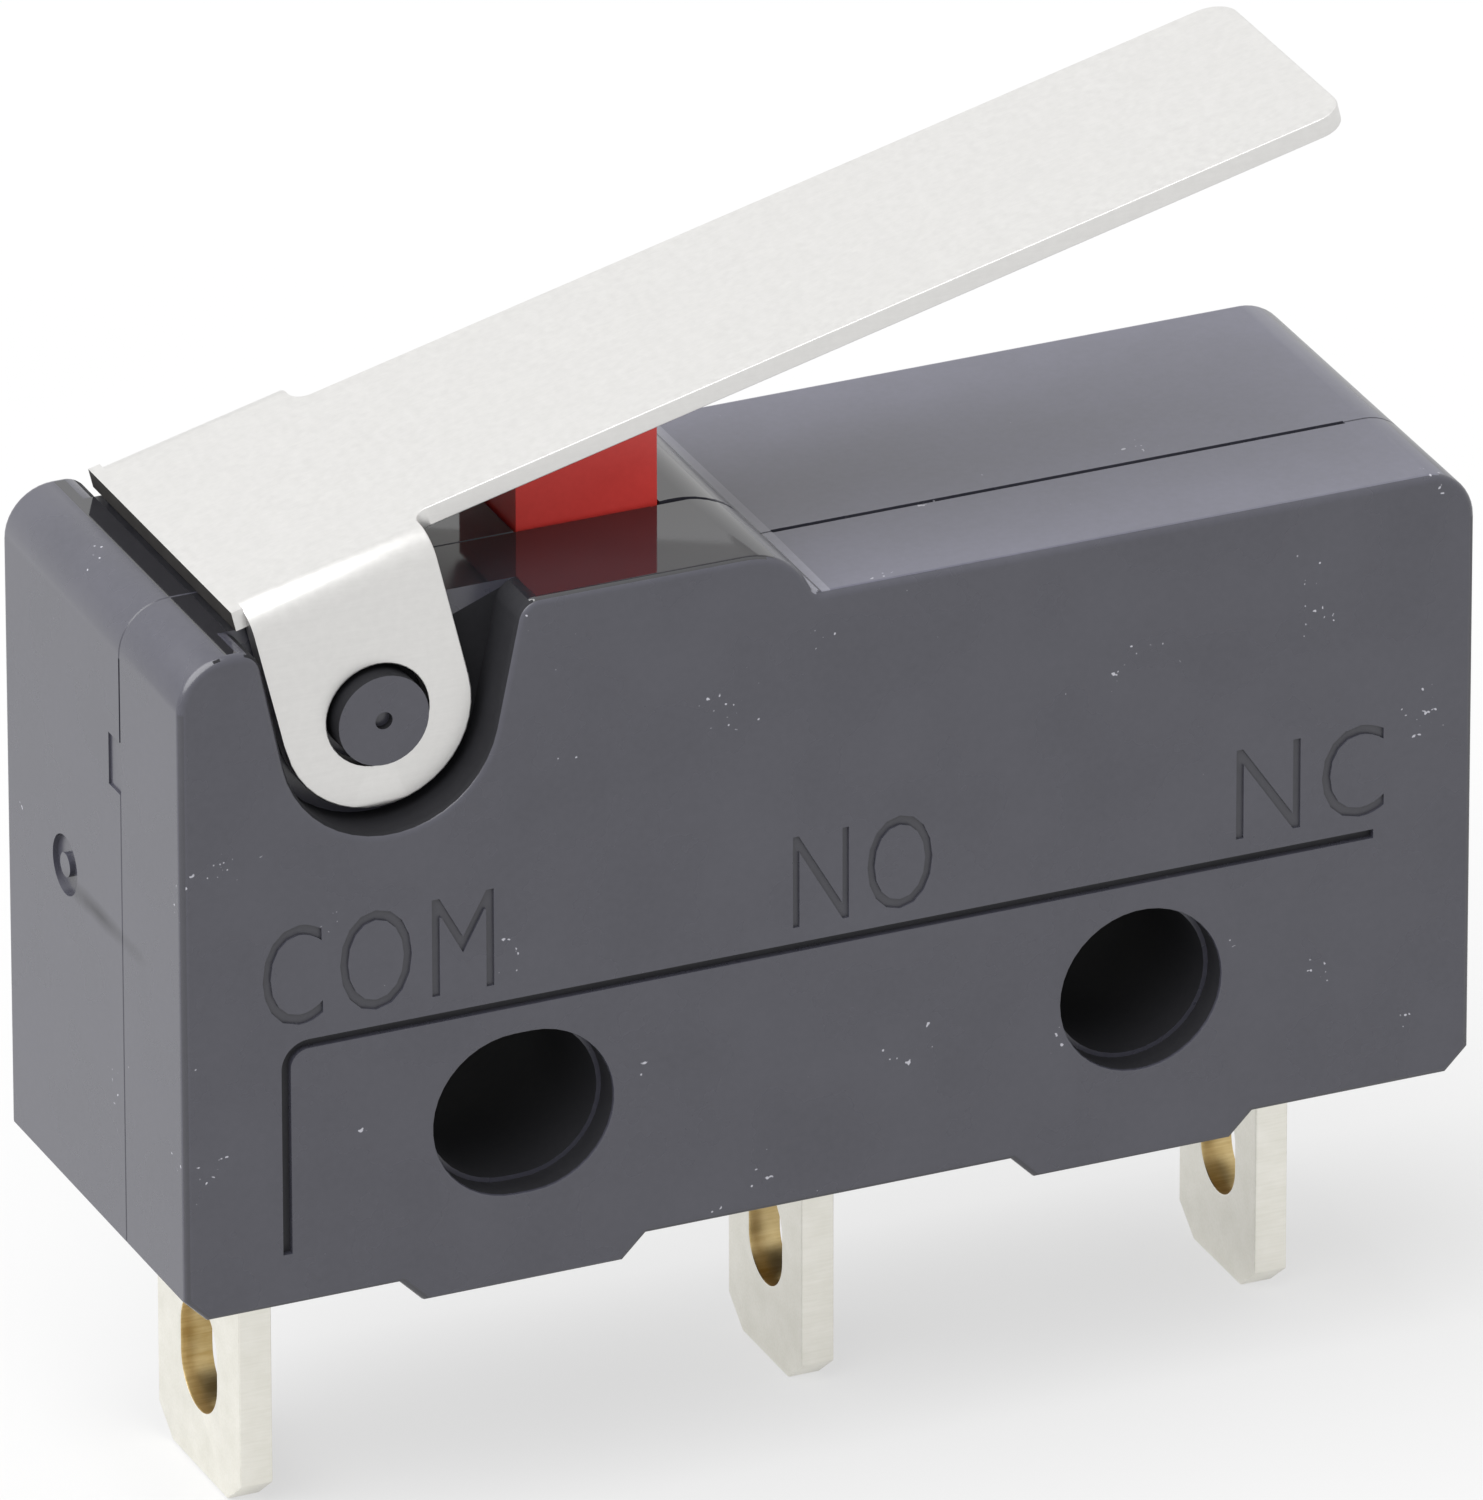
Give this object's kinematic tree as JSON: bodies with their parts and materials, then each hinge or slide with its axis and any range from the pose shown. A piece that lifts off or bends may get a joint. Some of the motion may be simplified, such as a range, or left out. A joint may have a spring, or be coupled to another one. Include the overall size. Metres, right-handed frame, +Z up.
{
  "type": "lever micro switch",
  "caption": "Subminiature snap-action switch with a hinged metal lever over its plunger, through mounting holes and solder terminals.",
  "frame": {"origin": "on the axis of the round mounting hole, halfway through the housing", "axes": "+X along the housing from the common terminal to the contact end, +Y from the front cover to the back of the case, +Z up towards the lever"},
  "size_m": [0.0199, 0.0064, 0.0188],
  "materials": {
    "housing": "dark grey moulded thermoset, semi gloss",
    "cover": "dark grey moulded thermoset, semi gloss",
    "plunger": "red moulded, semi gloss",
    "lever": "rolled stainless strip, satin",
    "terminal": "silver plated brass, satin, brass showing at the punched edges",
    "contact": "silver alloy",
    "blade": "beryllium copper strip",
    "rocker": "stainless strip",
    "spring": "stainless spring wire"
  },
  "bodies": {
    "housing": {"case": "housing", "cover": "cover", "com_terminal": "terminal", "no_terminal": "terminal", "nc_terminal": "terminal", "no_contact": "contact", "nc_contact": "contact"},
    "lever": {"lever": "lever"},
    "plunger": {"plunger": "plunger"},
    "rocker": {"rocker": "rocker"},
    "blade": {"blade": "blade", "moving_contact": "contact"},
    "spring": {"coil_spring": "spring"}
  },
  "joints": [
    {"name": "lever_hinge", "type": "hinge", "parent": "housing", "child": "lever", "pos_m": [-0.01147, 0, 0.00636], "axis": [0, 1, 0], "range_deg": [0, 16], "stiffness_Nm_per_rad": 0.002, "springref_deg": -45.84},
    {"name": "plunger_slide", "type": "slide", "parent": "housing", "child": "plunger", "axis": [0, 0, -1], "range_m": [0, 0.0011]},
    {"name": "rocker_hinge", "type": "hinge", "parent": "housing", "child": "rocker", "pos_m": [-0.01096, 0, 0.00492], "axis": [0, 1, 0], "range_deg": [0, 18.44]},
    {"name": "blade_hinge", "type": "hinge", "parent": "housing", "child": "blade", "pos_m": [-0.01057, 0, 0.00411], "axis": [0, 1, 0], "range_deg": [0, 2.33]},
    {"name": "spring_hinge", "type": "hinge", "parent": "rocker", "child": "spring", "pos_m": [-0.00607, 0, 0.00492], "axis": [0, 1, 0], "range_deg": [-35.8, 0], "deforming": ["coil_spring"]}
  ],
  "couplings": [
    {"joint": "plunger_slide", "follows": "lever_hinge", "m_per_rad": 0.0038851},
    {"joint": "rocker_hinge", "follows": "lever_hinge", "ratio": 1.1411},
    {"joint": "blade_hinge", "follows": "lever_hinge", "ratio": 0.14413},
    {"joint": "spring_hinge", "follows": "lever_hinge", "ratio": -2.2157}
  ]
}
